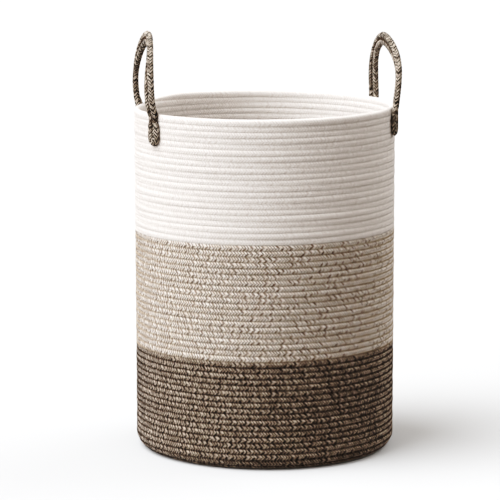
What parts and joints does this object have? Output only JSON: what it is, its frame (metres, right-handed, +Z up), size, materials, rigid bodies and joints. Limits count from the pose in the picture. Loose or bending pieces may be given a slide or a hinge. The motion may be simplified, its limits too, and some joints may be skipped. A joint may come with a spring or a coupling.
{
  "type": "laundry hamper",
  "caption": "Tall round open laundry hamper coiled from cotton rope in dark, tan and white bands, with upright doubled rope handles that fold at the rim.",
  "frame": {"origin": "centre of the round footprint, on the floor under the base", "axes": "+Z up, through the middle of the open top; the handles stand on the -X and +X sides; -Y is the front"},
  "size_m": [0.38, 0.38, 0.609],
  "materials": {
    "dark_rope": "matte braided cotton, dark brown with grey and cream flecks",
    "tan_rope": "matte braided cotton, oatmeal with cream and brown flecks",
    "white_rope": "matte braided cotton, warm white",
    "handle_rope": "matte braided cotton, mixed dark brown and cream",
    "dark_thread": "spun sewing thread, dark brown",
    "tan_thread": "spun sewing thread, beige",
    "white_thread": "spun sewing thread, white",
    "handle_thread": "spun sewing thread, dark brown"
  },
  "bodies": {
    "basket": {"base_coil": "dark_rope", "dark_wall_coil": "dark_rope", "tan_wall_coil": "tan_rope", "white_wall_coil": "white_rope", "base_stitching": "dark_thread", "dark_stitching": "dark_thread", "tan_stitching": "tan_thread", "white_stitching": "white_thread", "left_front_bend": "handle_rope", "left_front_tab": "handle_rope", "left_front_tab_stitches": "handle_thread", "left_rear_bend": "handle_rope", "left_rear_tab": "handle_rope", "left_rear_tab_stitches": "handle_thread", "right_front_bend": "handle_rope", "right_front_tab": "handle_rope", "right_front_tab_stitches": "handle_thread", "right_rear_bend": "handle_rope", "right_rear_tab": "handle_rope", "right_rear_tab_stitches": "handle_thread"},
    "left_handle": {"left_handle_arch": "handle_rope", "left_arch_seam": "handle_thread"},
    "right_handle": {"right_handle_arch": "handle_rope", "right_arch_seam": "handle_thread"}
  },
  "joints": [
    {"name": "left_handle_fold", "type": "hinge", "parent": "basket", "child": "left_handle", "pos_m": [-0.17741, 0, 0.5075], "axis": [0, -1, 0], "range_deg": [-90, 135], "stiffness_Nm_per_rad": 0.05, "deforming": ["left_front_bend", "left_rear_bend"]},
    {"name": "right_handle_fold", "type": "hinge", "parent": "basket", "child": "right_handle", "pos_m": [0.17741, 0, 0.5075], "axis": [0, 1, 0], "range_deg": [-90, 135], "stiffness_Nm_per_rad": 0.05, "deforming": ["right_front_bend", "right_rear_bend"]}
  ]
}
